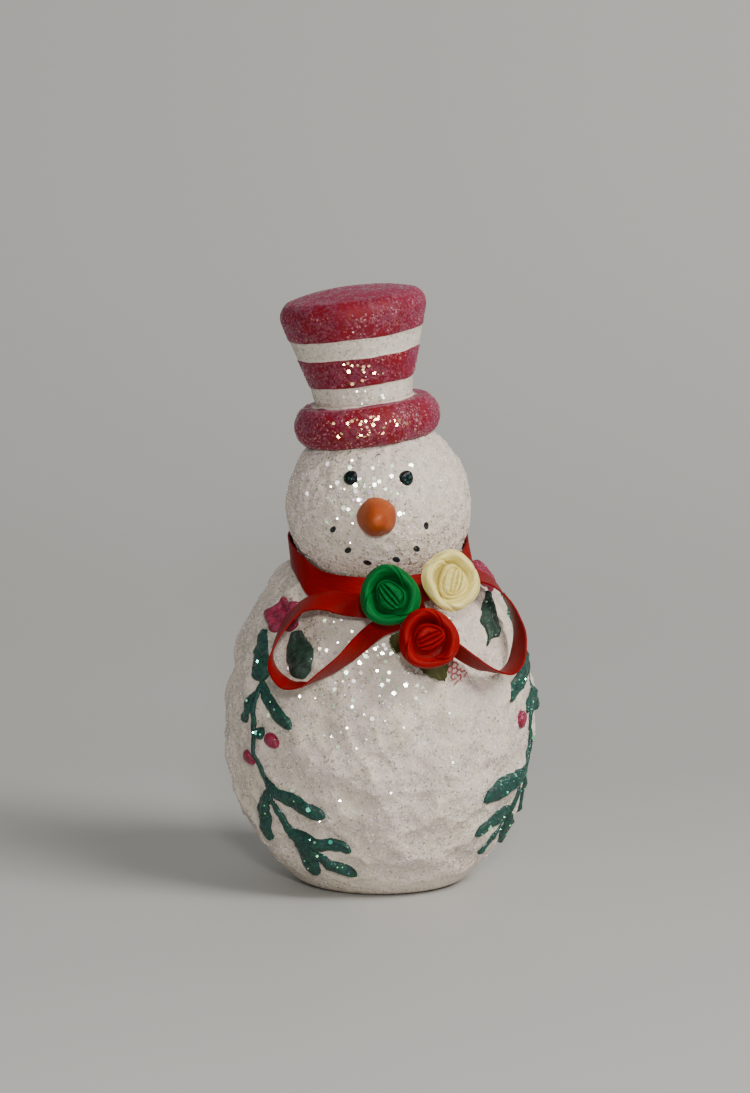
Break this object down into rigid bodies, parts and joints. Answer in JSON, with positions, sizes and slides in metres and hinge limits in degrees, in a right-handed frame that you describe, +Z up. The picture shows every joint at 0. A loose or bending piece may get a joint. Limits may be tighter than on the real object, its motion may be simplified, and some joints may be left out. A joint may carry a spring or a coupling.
{
  "type": "snowman figurine",
  "caption": "Glittered standing snowman figurine with a striped flared top hat, cone nose, satin neck ribbon and bow, rolled ribbon roses and raised mistletoe and holly sprigs.",
  "frame": {"origin": "middle of the flat face that the figurine stands on", "axes": "+Z up through the body, the face looks along -Y, +X to the viewer's right"},
  "size_m": [0.0622, 0.0679, 0.1193],
  "materials": {
    "snow": "warm white paint with fine iridescent glitter over a dented cast surface",
    "hat_glitter": "crimson glitter with two plain warm white stripes round the crown",
    "carrot": "matte orange paint",
    "bead_black": "glossy black",
    "ribbon_red": "red satin ribbon",
    "satin_green": "green satin ribbon",
    "satin_cream": "cream satin ribbon",
    "satin_red": "red satin ribbon",
    "leaf_olive": "dark olive satin with a pinked edge",
    "net_pink": "thin pinkish red net",
    "sprig_green": "dark green glitter paint on a raised line",
    "blossom_red": "pinkish red glitter paint on a raised spot"
  },
  "bodies": {
    "root": {"body": "snow", "head": "snow", "hat": "hat_glitter", "nose": "carrot", "eye_left": "bead_black", "eye_right": "bead_black", "neck_ribbon": "ribbon_red", "bow": "ribbon_red", "rose_green": "satin_green", "rose_cream": "satin_cream", "rose_red": "satin_red", "leaf_under_green": "leaf_olive", "leaf_under_red": "leaf_olive", "net_scrap": "net_pink", "sprig_left": "sprig_green", "sprig_right": "sprig_green", "holly_leaf_left": "sprig_green", "holly_leaf_right": "sprig_green", "blossom_left": "blossom_red", "blossom_right": "blossom_red", "berry_left_upper": "blossom_red", "berry_left_lower": "blossom_red", "berry_right": "blossom_red"}
  },
  "joints": []
}
